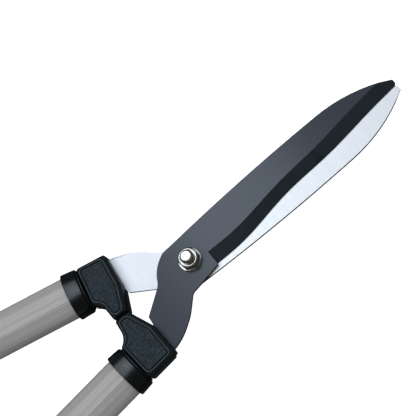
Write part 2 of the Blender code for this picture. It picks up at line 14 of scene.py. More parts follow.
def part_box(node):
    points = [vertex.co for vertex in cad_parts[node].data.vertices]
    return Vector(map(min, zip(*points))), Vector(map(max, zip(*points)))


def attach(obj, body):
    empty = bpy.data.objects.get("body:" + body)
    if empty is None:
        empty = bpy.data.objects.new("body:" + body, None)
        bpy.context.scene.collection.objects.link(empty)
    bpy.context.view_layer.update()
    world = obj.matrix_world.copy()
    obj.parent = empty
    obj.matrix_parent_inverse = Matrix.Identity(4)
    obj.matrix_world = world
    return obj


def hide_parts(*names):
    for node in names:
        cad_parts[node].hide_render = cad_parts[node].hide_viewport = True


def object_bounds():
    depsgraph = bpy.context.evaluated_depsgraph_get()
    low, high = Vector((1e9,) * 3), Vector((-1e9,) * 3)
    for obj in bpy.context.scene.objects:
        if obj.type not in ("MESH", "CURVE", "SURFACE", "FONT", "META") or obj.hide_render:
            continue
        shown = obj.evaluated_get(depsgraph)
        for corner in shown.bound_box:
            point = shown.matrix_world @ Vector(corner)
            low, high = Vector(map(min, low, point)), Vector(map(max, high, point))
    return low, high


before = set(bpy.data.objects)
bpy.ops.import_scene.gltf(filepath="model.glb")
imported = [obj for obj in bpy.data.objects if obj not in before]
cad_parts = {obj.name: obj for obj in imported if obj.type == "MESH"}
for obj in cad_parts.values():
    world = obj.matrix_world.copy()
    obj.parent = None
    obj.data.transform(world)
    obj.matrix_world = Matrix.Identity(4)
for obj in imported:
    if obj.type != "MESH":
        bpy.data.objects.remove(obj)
cad_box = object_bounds()

MM = 0.001
GAP = 0.3 * MM
RIGHT, LEFT = 1, -1
BODY = {RIGHT: "right_half", LEFT: "left_half"}
LABEL = {RIGHT: "right", LEFT: "left"}
MERGE = 0.001 * MM  # vertices closer than this are one

# Heights from the CAD nodes
BLADE_PLANE_Z = (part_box("top_blade")[0].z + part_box("bottom_blade")[1].z) / 2
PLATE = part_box("top_blade")[1].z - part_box("top_blade")[0].z

# Blades
BLADE_EDGE_ROUNDING = 0.15 * MM

# Pivot
HEAD_THICKNESS = 3.55 * MM
HEAD_RADIUS = 10.0 * MM
NECK_SIDE = 10.0 * MM
SHOULDER_RADIUS = 5.0 * MM
THREAD_RADIUS = 4.0 * MM
BUSH_RADIUS = 7.0 * MM
BORE_RADIUS = THREAD_RADIUS + GAP  # of the washer and the nut
WASHER_RADIUS = 9.9 * MM
WASHER_SLOPE = 0.5 * MM  # how far the washer falls towards its rim
WASHER_FLAT_RADIUS = 7.4 * MM
NUT_ACROSS_FLATS = 16.0 * MM
NUT_TURN = math.radians(8)  # direction of one of the hexagon's corners
NUT_HEX_HEIGHT = 7.5 * MM
NUT_RING_RADIUS = 7.2 * MM  # outer edge of the flat ring round the crown
CROWN_RADIUS = 5.7 * MM

# Casings, in a handle frame whose origin is the middle of the nose contact
NOSE_Y = -70.0 * MM
HANDLE_TURN = math.radians(4.2)
CASING_TOP = 12.0 * MM
CASING_BOTTOM = -10.0 * MM
FRONT_CORNER = (50.2, 16.3, 2.4)  # outer front corner of a cover: x, y and radius in mm
FRONT_CORNER_RIGHT_TOP = (50.6, 19.2, 1.6)
KINK_X = 22.3  # mm, where the front edge turns towards the nose
KINK_Y = {(RIGHT, True): 16.4, (LEFT, False): 14.9, (RIGHT, False): 14.1, (LEFT, True): 14.1}
NOSE_FACE_X = 0.9  # mm
FRONT_SLOPE = 1.3 * MM  # how far the upper cover's face is set back along its front edge
PANEL_INSET = 4.2 * MM
PANEL_DEPTH = 0.25 * MM
PANEL_GRID = 0.42 * MM
PANEL_GRAINS = ((0.8 * MM, 0.18 * MM, 0.0), (1.8 * MM, 0.20 * MM, 4.0))  # size, height, noise layer
BUMPER_LOW = (GAP / 2, -4.6 * MM, -4.0 * MM)  # corners of the rubber stop's block
BUMPER_HIGH = (4.4 * MM, 3.2 * MM, 6.0 * MM)
SCREW_RADIUS = 2.0 * MM
SCREW_HEAD_RADIUS = 3.8 * MM
SCREW_HEAD_HEIGHT = 2.4 * MM
SCREW_TIP_DEPTH = 3.2 * MM  # below the upper cover's face
SCREW_SPOTS = {  # name: (x, y) in the handle frame, in metres
    "tang_inner": (30.0 * MM, 8.0 * MM),
    "tang_outer": (43.0 * MM, 8.5 * MM),
    "plug": (37.0 * MM, -5.5 * MM),
    "nose": (13.0 * MM, 0.5 * MM),
}

# Handles, in a tube frame whose local -Y runs along the tube from the collar's front face
COLLAR_FRONT = (37.9 * MM, -14.2 * MM)
SPLAY = math.radians(9.3)
TUBE_AXIS_Z = 1.0 * MM
TUBE_HALF = (17.6 * MM, 13.8 * MM)
TUBE_WALL = 1.5 * MM
TUBE_START = 1.8 * MM
TUBE_LENGTH = 300.0 * MM
COLLAR_LENGTH = 12.6 * MM
COLLAR_FRONT_GROWTH = 1.6 * MM  # over the tube's outside
COLLAR_REAR_GROWTH = 2.5 * MM
NECK_HALF = (10.0 * MM, 5.0 * MM)
RIDGE_HALF = (17.6 * MM, 14.2 * MM)
PLUG_LENGTH = 38.0 * MM
LEAD_IN = 0.8 * MM  # taper on an end that is pushed into the tube
PIN_RADIUS = 2.0 * MM
PIN_PLACE = 7.0 * MM
SPIGOT_LENGTH = 17.0 * MM
CAP_THICKNESS = 4.0 * MM
CAP_HALF = (21.6 * MM, 17.6 * MM)
GRIP_START = 166.0 * MM
GRIP_LENGTH = 136.0 * MM
GRIP_DROP = 4.0 * MM  # the grip's half height is this much less than its half width
GROOVE_PITCH = 6 * MM
GROOVE_DEPTH = 0.8 * MM

# Overhead lights: low corner, high corner and radiance
LIGHTS = {
    "softbox": ((-1.3, -1.1, 1.3), (-0.05, 0.25, 1.3), 2.2),
    "hot_area": ((-0.62, -0.06, 1.29), (-0.24, 0.2, 1.29), 2.4),
    "far_box": ((-1.0, 0.45, 1.3), (-0.05, 0.95, 1.3), 1.1),
    "edge_strip": ((-0.16, -0.9, 1.29), (-0.05, -0.15, 1.29), 1.5),
}
LIGHT_TINT = (0.84, 0.91, 1.0)

# Camera
CAMERA_DISTANCE = 1.25
SENSOR_WIDTH = 36.0  # mm
LENS = 135.216  # mm, long because the photo shows little perspective
PIVOT_ON_SENSOR = (-1.5663, -4.4654)  # mm from the picture's middle

ROUND_STEPS = 96  # sides of a round piece
OVAL_STEPS = 96  # sides of a handle piece


# ---------------------------------------------------------------- materials


class Surface:
    """A Principled material with short calls for the texture nodes that vary it."""

    def __init__(self, name, colour, roughness, metallic=0.0, **settings):
        self.material = bpy.data.materials.new(name)
        self.material.use_nodes = True
        self.tree = self.material.node_tree
        self.shader = self.tree.nodes["Principled BSDF"]
        self.shader.inputs["Base Color"].default_value = (*colour, 1.0)
        self.shader.inputs["Roughness"].default_value = roughness
        self.shader.inputs["Metallic"].default_value = metallic
        for socket, value in settings.items():
            self.shader.inputs[socket.replace("_", " ")].default_value = value
        self.coordinates = self.node("ShaderNodeTexCoord").outputs["Object"]
        self.normal = None

    def node(self, kind, **sockets):
        made = self.tree.nodes.new(kind)
        for socket, value in sockets.items():
            self.feed(value, made.inputs[socket.replace("_", " ")])
        return made

    def feed(self, value, socket):
        if isinstance(value, bpy.types.NodeSocket):
            self.tree.links.new(value, socket)
        else:
            socket.default_value = value

    def stretched(self, scale):
        """Object coordinates, scaled by a vector so that a texture runs along one direction."""
        return self.node("ShaderNodeMapping", Vector=self.coordinates, Scale=scale).outputs[0]

    def along_axis(self, turn, lengthwise, crosswise):
        """Object coordinates turned about Z, with their own scales along and across local Y."""
        made = self.node("ShaderNodeMapping", Vector=self.coordinates, Rotation=(0.0, 0.0, turn))
        made.vector_type = "TEXTURE"
        made.inputs["Scale"].default_value = (1 / crosswise, 1 / lengthwise, 1 / crosswise)
        return made.outputs[0]

    def noise(self, scale, detail=3.0, roughness=0.5, vector=None):
        made = self.node("ShaderNodeTexNoise", Scale=scale, Detail=detail, Roughness=roughness)
        self.feed(vector or self.coordinates, made.inputs["Vector"])
        return made.outputs["Fac"]

    def cells(self, scale, feature="F1"):
        made = self.node("ShaderNodeTexVoronoi", Scale=scale, Vector=self.coordinates)
        made.feature = feature
        return made.outputs["Distance"]

    def along_blade(self):
        """The distance from the pivot along the blades."""
        return self.node("ShaderNodeSeparateXYZ", Vector=self.coordinates).outputs["Y"]

    def calculate(self, operation, *values):
        made = self.tree.nodes.new("ShaderNodeMath")
        made.operation = operation
        for value, socket in zip(values, made.inputs):
            self.feed(value, socket)
        return made.outputs[0]

    def ramp(self, value, low, high, from_low, from_high):
        """A smooth step from low to high as a value goes through a range."""
        made = self.node("ShaderNodeMapRange", Value=value, From_Min=from_low, From_Max=from_high)
        made.interpolation_type = "SMOOTHSTEP"
        made.inputs["To Min"].default_value = low
        made.inputs["To Max"].default_value = high
        return made.outputs["Result"]

    def blend(self, factor, colour_a, colour_b):
        made = self.tree.nodes.new("ShaderNodeMix")
        made.data_type = "RGBA"
        self.feed(factor, made.inputs[0])
        for colour, socket in ((colour_a, made.inputs[6]), (colour_b, made.inputs[7])):
            self.feed(colour if isinstance(colour, bpy.types.NodeSocket) else (*colour, 1.0), socket)
        return made.outputs[2]

    def paint(self, colour):
        self.feed(colour, self.shader.inputs["Base Color"])

    def vary_roughness(self, value, low, high, from_low=0.3, from_high=0.7):
        self.feed(self.ramp(value, low, high, from_low, from_high), self.shader.inputs["Roughness"])

    def bump(self, height, distance, strength=1.0):
        """Adds a bump on top of those already there."""
        made = self.node("ShaderNodeBump", Height=height, Distance=distance, Strength=strength)
        if self.normal:
            self.feed(self.normal, made.inputs["Normal"])
        self.normal = made.outputs["Normal"]
        self.feed(self.normal, self.shader.inputs["Normal"])


def coated_steel():
    """Dark blue-grey non-stick coating with a fine orange peel, glossiest at y = 60 mm."""
    made = Surface("coated_steel", (0.010, 0.017, 0.024), 0.3, Specular_Tint=(0.9, 0.93, 1.0, 1.0))
    clouds = made.ramp(made.noise(32.0, 5.0), 0, 1, 0.35, 0.65)
    made.paint(made.blend(clouds, (0.007, 0.018, 0.022), (0.012, 0.015, 0.030)))
    distance = made.calculate("ABSOLUTE", made.calculate("SUBTRACT", made.along_blade(), 60 * MM))
    made.vary_roughness(distance, 0.25, 0.46, 35 * MM, 120 * MM)
    made.bump(made.noise(2600.0, 2.0), 0.02 * MM, 0.35)
    return made.material


def bevel_coating():
    """The same coating over the ground cutting bevel: darker, with faint cross-wise grinding."""
    made = Surface("bevel_coating", (0.013, 0.02, 0.022), 0.33)
    lines = made.noise(1.0, 2.0, vector=made.stretched((120.0, 2400.0, 120.0)))
    made.paint(made.blend(lines, (0.004, 0.011, 0.015), (0.008, 0.016, 0.022)))
    made.vary_roughness(lines, 0.28, 0.38)
    made.bump(lines, 0.01 * MM, 0.4)
    return made.material


def ground_steel():
    """The bright inner faces, ground across the blade, with painted shade that darkens the tang
    towards the casing.
    """
    made = Surface("ground_steel", (0.62, 0.65, 0.7), 0.42, 1.0)
    lines = made.noise(1.0, 3.0, vector=made.stretched((60.0, 1900.0, 60.0)))
    patches = made.noise(40.0, 3.0)
    ground = made.blend(patches, (0.93, 0.95, 0.97), (0.97, 0.98, 0.985))
    # Painted shade: the tang gets the darker steel colour, which fades out between y = -30 mm and 20
    # mm.
    out_of_tang_shade = made.ramp(made.along_blade(), 0, 1, -30 * MM, 20 * MM)
    made.paint(made.blend(out_of_tang_shade, (0.78, 0.80, 0.82), ground))
    made.vary_roughness(lines, 0.52, 0.56)
    made.bump(lines, 0.004 * MM, 0.4)
    return made.material


def plated_steel():
    """Bright plating on the bolt, the washer and the nut's hexagon."""
    made = Surface("plated_steel", (0.45, 0.45, 0.41), 0.16, 1.0)
    made.vary_roughness(made.noise(700.0, 4.0), 0.12, 0.22)
    made.bump(made.noise(1500.0, 3.0), 0.02 * MM, 0.25)
    return made.material


def plated_dome_painted_highlight():
    """The nut's crown, plated like the rest but less polished, in a brighter, olive copy of the
    plating: a painted highlight and a painted olive reflection.
    """
    made = Surface("plated_dome_painted_highlight", (0.72, 0.73, 0.64), 0.3, 1.0)
    made.vary_roughness(made.noise(700.0, 4.0), 0.26, 0.34)
    made.bump(made.noise(1500.0, 3.0), 0.02 * MM, 0.25)
    return made.material


def bush_bronze():
    """Sintered bronze with open pores."""
    made = Surface("bush_bronze", (0.45, 0.29, 0.12), 0.4, 1.0)
    pores = made.cells(3500.0)
    made.vary_roughness(pores, 0.5, 0.32, 0.0, 0.6)
    made.bump(pores, 0.03 * MM, 0.6)
    return made.material


def zinc_screw():
    """Dull zinc on the screws and pins."""
    made = Surface("zinc_screw", (0.55, 0.56, 0.57), 0.3, 1.0)
    made.vary_roughness(made.noise(900.0, 3.0), 0.22, 0.42)
    made.bump(made.noise(2000.0, 2.0), 0.02 * MM, 0.4)
    return made.material


def pebbled_nylon():
    """The textured panel on a casing."""
    made = Surface("pebbled_nylon", (0.005, 0.010, 0.014), 0.62, Specular_Tint=(0.8, 0.95, 1.0, 1.0))
    grain = made.cells(1500.0, "SMOOTH_F1")
    mottle = made.ramp(made.noise(900.0, 3.0, 0.6), 0, 1, 0.38, 0.62)
    made.paint(made.blend(mottle, (0.001, 0.004, 0.006), (0.008, 0.017, 0.026)))
    made.vary_roughness(mottle, 0.68, 0.54, 0.0, 1.0)
    made.bump(grain, 0.12 * MM, 0.8)
    return made.material


def smooth_nylon(name, colour, roughness):
    """The casings' rims and sides, moulded with a fine spark texture."""
    made = Surface(name, colour, roughness, Specular_Tint=(0.8, 0.94, 1.0, 1.0))
    made.vary_roughness(made.noise(500.0, 4.0), roughness - 0.06, roughness + 0.06)
    made.bump(made.noise(3000.0, 3.0), 0.02 * MM, 0.5)
    return made.material


def collar_plastic():
    """Glossy black plastic."""
    made = Surface("collar_plastic", (0.002, 0.003, 0.003), 0.16, Specular_Tint=(0.95, 0.99, 1.0, 1.0))
    made.vary_roughness(made.noise(220.0, 4.0), 0.2, 0.28)
    made.bump(made.noise(900.0, 2.0), 0.02 * MM, 0.15)
    return made.material


def tube_paint(side):
    """Gloss grey paint over a drawn tube: fine flake, and streaks along the tube."""
    name = "tube_paint_" + LABEL[side]
    made = Surface(name, (0.34, 0.33, 0.31), 0.08, Specular_Tint=(1.0, 0.92, 0.84, 1.0))
    turn = side * SPLAY - HANDLE_TURN
    streaks = made.noise(1.0, 3.0, 0.6, made.along_axis(turn, 5.0, 700.0))
    flake = made.ramp(made.noise(5200.0, 2.0), 0, 1, 0.35, 0.65)
    grey = made.blend(flake, (0.365, 0.348, 0.326), (0.395, 0.376, 0.352))
    made.paint(made.blend(made.ramp(streaks, 0, 1, 0.38, 0.62), (0.31, 0.295, 0.276), grey))
    made.vary_roughness(streaks, 0.05, 0.14)
    made.bump(streaks, 0.04 * MM, 0.3)
    return made.material


def grip_rubber():
    """Matt black rubber, a little mottled."""
    made = Surface("grip_rubber", (0.012, 0.012, 0.013), 0.62)
    skin = made.noise(2400.0, 4.0)
    made.paint(made.blend(made.noise(60.0, 3.0), (0.010, 0.010, 0.011), (0.016, 0.016, 0.017)))
    made.vary_roughness(skin, 0.55, 0.72)
    made.bump(skin, 0.05 * MM, 0.6)
    return made.material


MATERIALS = {
    "coated": coated_steel(),
    "bevel": bevel_coating(),
    "ground": ground_steel(),
    "plated": plated_steel(),
    "dome": plated_dome_painted_highlight(),
    "bronze": bush_bronze(),
    "zinc": zinc_screw(),
    "pebble": pebbled_nylon(),
    "nylon": smooth_nylon("smooth_nylon", (0.006, 0.010, 0.011), 0.46),
    # The lower cover's nylon is a lighter copy of the same nylon: painted light on its sides.
    "lower": smooth_nylon("lower_nylon_painted_light", (0.030, 0.035, 0.037), 0.42),
    "collar": collar_plastic(),
    "paint_right": tube_paint(RIGHT),
    "paint_left": tube_paint(LEFT),
    "rubber": grip_rubber(),
}


# ---------------------------------------------------------------- mesh tools


def add_piece(name, bm, body, finishes, smooth_angle=35.0, replaces=None):
    """Turns a bmesh into a piece that rides on a body and stands for a CAD node."""
    bmesh.ops.remove_doubles(bm, verts=bm.verts, dist=MERGE)
    bmesh.ops.recalc_face_normals(bm, faces=bm.faces)
    mesh = bpy.data.meshes.new(name)
    bm.to_mesh(mesh)
    bm.free()
    mesh.shade_smooth()
    mesh.set_sharp_from_angle(angle=math.radians(smooth_angle))
    for finish in finishes:
        mesh.materials.append(MATERIALS[finish])
    obj = bpy.data.objects.new(name, mesh)
    bpy.context.scene.collection.objects.link(obj)
    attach(obj, body)
    if replaces:
        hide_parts(replaces)
    return obj


def loft(sections, closed=False, last_cap=True):
    """Skins rings of points; open ends are capped, or the last ring is joined to the first."""
    bm = bmesh.new()
    rings = [[bm.verts.new(point) for point in section] for section in sections]
    count = len(rings[0])
    pairs = list(zip(rings, rings[1:]))
    if closed:
        pairs.append((rings[-1], rings[0]))
    for low, high in pairs:
        for i in range(count):
            j = (i + 1) % count
            bm.faces.new((low[i], low[j], high[j], high[i]))
    if not closed:
        bm.faces.new(rings[0][::-1])
        if last_cap:
            bm.faces.new(rings[-1])
    return bm


def circle(centre, radius, steps=ROUND_STEPS, start=0.0):
    angles = [start + 2 * math.pi * i / steps for i in range(steps)]
    return [(centre[0] + radius * math.cos(a), centre[1] + radius * math.sin(a)) for a in angles]


def turned(profile, steps=ROUND_STEPS, closed=False):
    """A piece turned round the Z axis from (radius, z) points."""
    sections = [[(x, y, z) for x, y in circle((0, 0), radius, steps)] for radius, z in profile]
    return loft(sections, closed)


def prism(outline, bottom, top):
    return loft([[(x, y, z) for x, y in outline] for z in (bottom, top)])


def box(low, high):
    corners = [(low[0], low[1]), (high[0], low[1]), (high[0], high[1]), (low[0], high[1])]
    return prism(corners, low[2], high[2])


def soften(profile, radius, steps=4):
    """Rounds each inner corner of an open list of two-number points with a small arc."""
    points = [profile[0]]
    for before, corner, after in zip(profile, profile[1:], profile[2:]):
        here = Vector(corner)
        to_before = Vector(before) - here
        to_after = Vector(after) - here
        reach = min(radius, to_before.length * 0.45, to_after.length * 0.45)
        start = here + to_before.normalized() * reach
        end = here + to_after.normalized() * reach
        for k in range(steps + 1):
            t = k / steps
            points.append(tuple(start.lerp(here, t).lerp(here.lerp(end, t), t)))
    points.append(profile[-1])
    return points


def smooth_between(stations, along):
    """A value eased between (distance, value) stations."""
    for (start, low), (end, high) in zip(stations, stations[1:]):
        if along <= end:
            t = (along - start) / (end - start)
            return low + (high - low) * t * t * (3 - 2 * t)
    return stations[-1][1]


def threaded(low, high, radius, depth, pitch):
    """The (radius, z) points of thread rings between two heights."""
    points = []
    root = radius - depth
    for i in range(int((high - low) / pitch)):
        z = low + i * pitch
        points += [(root, z), (root, z + 0.15 * pitch)]
        points += [(radius, z + 0.55 * pitch), (radius, z + 0.7 * pitch)]
    return points


def oval_ring(half, along, steps=OVAL_STEPS, power=2.3, lines=0.0):
    """One cross-section of a handle piece: a slightly squared oval at local y = -along.

    With lines, the outline carries the faint lengthwise waves of a drawn tube.
    """
    points = []
    for i in range(steps):
        a = 2 * math.pi * i / steps
        wave = lines * (math.sin(19 * a + 1.3) + 0.6 * math.sin(43 * a))
        c, s = math.cos(a), math.sin(a)
        x = (half[0] + wave) * math.copysign(abs(c) ** (2 / power), c)
        z = (half[1] + wave) * math.copysign(abs(s) ** (2 / power), s)
        points.append((x, -along, z))
    return points


def oval_sleeve(stations, closed=True):
    """A handle piece through (distance, growth over the tube's outside) stations."""
    return loft([oval_ring(grown(TUBE_HALF, extra), along) for along, extra in stations], closed)


def grown(half, amount):
    return (half[0] + amount, half[1] + amount)


def inset_corners(corners, distance):
    """Moves each side of an anticlockwise (x, y, radius) outline inwards by a distance."""
    moved = []
    count = len(corners)
    for i, (x, y, radius) in enumerate(corners):
        here = Vector((x, y))
        before = (here - Vector(corners[i - 1][:2])).normalized()
        after = (Vector(corners[(i + 1) % count][:2]) - here).normalized()
        bisector = Vector((-before.y - after.y, before.x + after.x)).normalized()
        reach = distance / max(0.2, bisector.dot(Vector((-before.y, before.x))))
        point = here + bisector * reach
        turn = before.x * after.y - before.y * after.x
        new_radius = max(0.3 * MM, radius - distance) if turn > 0 else radius + distance
        moved.append((point.x, point.y, new_radius))
    return moved


def rounded(corners, steps=10):
    """The points of an (x, y, radius) outline with each corner drawn as an arc."""
    points = []
    count = len(corners)
    for i, (x, y, radius) in enumerate(corners):
        here = Vector((x, y))
        to_before = (Vector(corners[i - 1][:2]) - here).normalized()
        to_after = (Vector(corners[(i + 1) % count][:2]) - here).normalized()
        half_angle = to_before.angle(to_after) / 2
        centre = here + (to_before + to_after).normalized() * (radius / math.sin(half_angle))
        start = here + to_before * (radius / math.tan(half_angle)) - centre
        end = here + to_after * (radius / math.tan(half_angle)) - centre
        for k in range(steps + 1):
            arm = start.slerp(end, k / steps, start)
            point = centre + arm * (radius / arm.length)
            points.append((point.x, point.y))
    return points


def inside(point, outline):
    """Whether a point is inside a closed outline, by counting crossings."""
    crossings = 0
    for a, b in zip(outline, outline[1:] + outline[:1]):
        if (a.y > point.y) != (b.y > point.y):
            crossings += point.x < a.x + (point.y - a.y) * (b.x - a.x) / (b.y - a.y)
    return crossings % 2 == 1


def place(bm, matrix, side=RIGHT):
    """Mirrors a piece of the right handle for the left one, then moves it into the frame."""
    if side == LEFT:
        bmesh.ops.transform(bm, matrix=Matrix.Scale(-1, 4, (1, 0, 0)), verts=bm.verts)
    bmesh.ops.transform(bm, matrix=matrix, verts=bm.verts)
    return bm


def with_boolean(bm, tool, operation):
    """The bmesh after a Boolean with another one; both are used up."""
    objects = []
    for part in (bm, tool):
        bmesh.ops.remove_doubles(part, verts=part.verts, dist=MERGE)
        bmesh.ops.recalc_face_normals(part, faces=part.faces)
        mesh = bpy.data.meshes.new("boolean_input")
        part.to_mesh(mesh)
        part.free()
        obj = bpy.data.objects.new("boolean_input", mesh)
        bpy.context.scene.collection.objects.link(obj)
        objects.append(obj)
    modifier = objects[0].modifiers.new("boolean", "BOOLEAN")
    modifier.operation = operation
    modifier.object = objects[1]
    modifier.solver = "EXACT"
    graph = bpy.context.evaluated_depsgraph_get()
    result = bmesh.new()
    result.from_mesh(objects[0].evaluated_get(graph).to_mesh())
    for obj in objects:
        bpy.data.objects.remove(obj, do_unlink=True)
    return result


def handle_matrix():
    """The handle frame, the same for both sides."""
    return Matrix.Translation((0, NOSE_Y, BLADE_PLANE_Z)) @ Matrix.Rotation(-HANDLE_TURN, 4, "Z")


def tube_matrix(side):
    spot = Matrix.Translation((side * COLLAR_FRONT[0], COLLAR_FRONT[1], TUBE_AXIS_Z))
    return handle_matrix() @ spot @ Matrix.Rotation(side * SPLAY, 4, "Z")


# ---------------------------------------------------------------- blades


def blade(name, side):
    """The CAD plate with rounded edges; its bevel and its inner face have their own finishes."""
    finishes = ["coated", "bevel", "ground"]
    bm = bmesh.new()
    bm.from_mesh(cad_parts[name].data)
    bmesh.ops.remove_doubles(bm, verts=bm.verts, dist=MERGE)
    bmesh.ops.dissolve_limit(bm, angle_limit=math.radians(0.4), verts=bm.verts, edges=bm.edges)
    for face in bm.faces:
        outward = face.normal.z * side
        if outward < -0.9:
            face.material_index = finishes.index("ground")
        elif outward < 0.995:
            face.material_index = finishes.index("bevel")
    least = math.radians(30)
    sharp = [edge for edge in bm.edges if edge.is_manifold and edge.calc_face_angle() > least]
    bmesh.ops.bevel(
        bm,
        geom=sharp,
        offset=BLADE_EDGE_ROUNDING,
        segments=2,
        profile=0.5,
        affect="EDGES",
        clamp_overlap=True,
    )
    obj = add_piece(name + "_plate", bm, BODY[side], finishes, 12, name)
    for polygon in obj.data.polygons:
        polygon.use_smooth = abs(polygon.normal.z) < 0.9999


# ---------------------------------------------------------------- pivot


def pivot_washer():
    """The washer, whose top slopes down towards its rim."""
    low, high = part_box("pivot_washer")
    profile = [
        (BORE_RADIUS, low.z),
        (WASHER_RADIUS, low.z),
        (WASHER_RADIUS, high.z - WASHER_SLOPE),
        (WASHER_FLAT_RADIUS, high.z),
        (BORE_RADIUS, high.z),
    ]
    disc = turned(soften(profile, 0.5 * MM), closed=True)
    add_piece("washer_disc", disc, BODY[LEFT], ["plated"], 50, "pivot_washer")


def cap_nut():
    """A chamfered hexagon with a flat ring on top, a groove, and a crown with a round shoulder."""
    low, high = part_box("cap_nut")
    hex_top = low.z + NUT_HEX_HEIGHT
    apothem = NUT_ACROSS_FLATS / 2
    corner = NUT_ACROSS_FLATS / math.sqrt(3)
    past_corner = corner + 0.1 * MM
    blank = [
        (apothem - 0.2 * MM, low.z - 0.01 * MM),
        (past_corner, low.z + 0.9 * MM),
        (past_corner, hex_top - 2.1 * MM),
        (apothem - 0.4 * MM, hex_top - 0.9 * MM),
        (NUT_RING_RADIUS, hex_top + 0.01 * MM),
    ]
    groove = [
        (CROWN_RADIUS - 0.7 * MM, hex_top - 0.9 * MM),
        (NUT_RING_RADIUS - 0.8 * MM, hex_top - 0.9 * MM),
        (NUT_RING_RADIUS - 0.5 * MM, hex_top + 0.5 * MM),
        (CROWN_RADIUS - 0.7 * MM, hex_top + 0.5 * MM),
    ]
    crown = [
        (CROWN_RADIUS, hex_top - 1.5 * MM),
        (CROWN_RADIUS, high.z - 2.4 * MM),
        (CROWN_RADIUS - 1.2 * MM, high.z - 0.15 * MM),
        (0.01 * MM, high.z),
    ]
    hexagon = prism(circle((0, 0), corner, 6, NUT_TURN), low.z, hex_top)
    nut = with_boolean(hexagon, turned(blank), "INTERSECT")
    nut = with_boolean(nut, turned(groove, closed=True), "DIFFERENCE")
    nut = with_boolean(nut, turned(soften(crown, 1.2 * MM, 8)), "UNION")
    bore = turned([(BORE_RADIUS, low.z - 1 * MM), (BORE_RADIUS, high.z - 2.4 * MM)], 48)
    nut = with_boolean(nut, bore, "DIFFERENCE")
    # The crown takes the brighter copy of the plating, a painted highlight.
    for face in nut.faces:
        face.material_index = int(face.calc_center_median().z > hex_top + 0.1 * MM)
    obj = add_piece("cap_nut_body", nut, BODY[LEFT], ["plated", "dome"], 30, "cap_nut")
    soft = obj.modifiers.new("soft_edges", "BEVEL")
    soft.width = 0.2 * MM
    soft.segments = 3
    soft.limit_method = "ANGLE"
    soft.angle_limit = math.radians(30)
    soft.harden_normals = True


def pivot_bolt():
    """Flat round head, square neck, shoulder and a threaded end."""
    low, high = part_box("pivot_bolt")
    head_top = low.z + HEAD_THICKNESS
    shoulder_top = BLADE_PLANE_Z + PLATE + GAP
    chamfer = 1.2 * MM
    profile = soften(
        [
            (0.5 * MM, low.z),
            (HEAD_RADIUS - chamfer, low.z),
            (HEAD_RADIUS, low.z + chamfer),
            (HEAD_RADIUS, head_top),
            (SHOULDER_RADIUS, head_top),
            (SHOULDER_RADIUS, shoulder_top),
            (THREAD_RADIUS, shoulder_top),
            (THREAD_RADIUS, shoulder_top + 2.0 * MM),
        ],
        0.35 * MM,
    )
    profile += threaded(shoulder_top + 2.2 * MM, high.z - 1.0 * MM, THREAD_RADIUS, 0.6 * MM, 1.25 * MM)
    profile.append((THREAD_RADIUS - 0.8 * MM, high.z))
    half = NECK_SIDE / 2
    neck = box((-half, -half, head_top - 1 * MM), (half, half, BLADE_PLANE_Z - GAP))
    bm = with_boolean(turned(profile), neck, "UNION")
    add_piece("pivot_bolt_body", bm, BODY[LEFT], ["plated"], 35, "pivot_bolt")


def pivot_bush():
    """The bearing sleeve in the top blade, with rounded edges."""
    low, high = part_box("pivot_bush")
    inner = SHOULDER_RADIUS + GAP
    profile = [(inner, low.z), (BUSH_RADIUS, low.z), (BUSH_RADIUS, high.z), (inner, high.z)]
    ring = turned(soften(profile, 0.3 * MM), closed=True)
    add_piece("pivot_bush_ring", ring, BODY[RIGHT], ["bronze"], 40, "pivot_bush")


# ---------------------------------------------------------------- casings


def casing_corners(side, top):
    """A casing cover in plan, anticlockwise, with its concave inner curve."""
    corners = [
        (NOSE_FACE_X, -7.3, 1.6),
        (16.6, -8.3, 13.0),
        (21.4, -15.0, 2.2),
        (54.5, -10.1, 3.2),
        FRONT_CORNER_RIGHT_TOP if side == RIGHT and top else FRONT_CORNER,
        (KINK_X, KINK_Y[side, top], 2.6),
        (NOSE_FACE_X, 6.1, 1.6),
    ]
    return [(x * MM, y * MM, radius * MM) for x, y, radius in corners]


def panel_corners(corners, setback=0.0):
    """The outline of a casing's face, with more even corners and its front edge set back."""
    moved = []
    for x, y, radius in corners:
        even_radius = min(max(radius, 6.0 * MM), 7.5 * MM)
        moved.append((x, y - setback if y > 0 else y, even_radius))
    return moved


def pebbled_panel(bm, corners, outline, z):
    """Fills an outline with a fine triangle grid whose height follows a pebble grain."""
    spacing = PANEL_GRID
    row_step = 0.866 * spacing
    xs = [x for x, y in outline]
    ys = [y for x, y in outline]
    rows = int((max(ys) - min(ys)) / row_step)
    columns = int((max(xs) - min(xs)) / spacing)
    edge = [Vector(point) for point in outline]
    points = list(edge)
    inner = rounded(inset_corners(corners, PANEL_INSET + 0.6 * spacing), 10)
    inner = [Vector(point) for point in inner]
    for row in range(1, rows):
        for column in range(columns):
            x = min(xs) + (column + 0.5 * (row % 2)) * spacing
            point = Vector((x, min(ys) + row * row_step))
            if inside(point, inner):
                points.append(point)
    loop = [(i, (i + 1) % len(edge)) for i in range(len(edge))]
    found = geometry.delaunay_2d_cdt(points, loop, [], 1, 1e-7)
    verts = []
    for i, (x, y) in enumerate(found[0]):
        grain = 0.0
        if i >= len(edge):
            for size, height, layer in PANEL_GRAINS:
                grain += noise.noise((x / size, y / size, layer)) * height
        verts.append(bm.verts.new((x, y, z + grain)))
    for triangle in found[2]:
        bm.faces.new([verts[i] for i in triangle]).material_index = 1


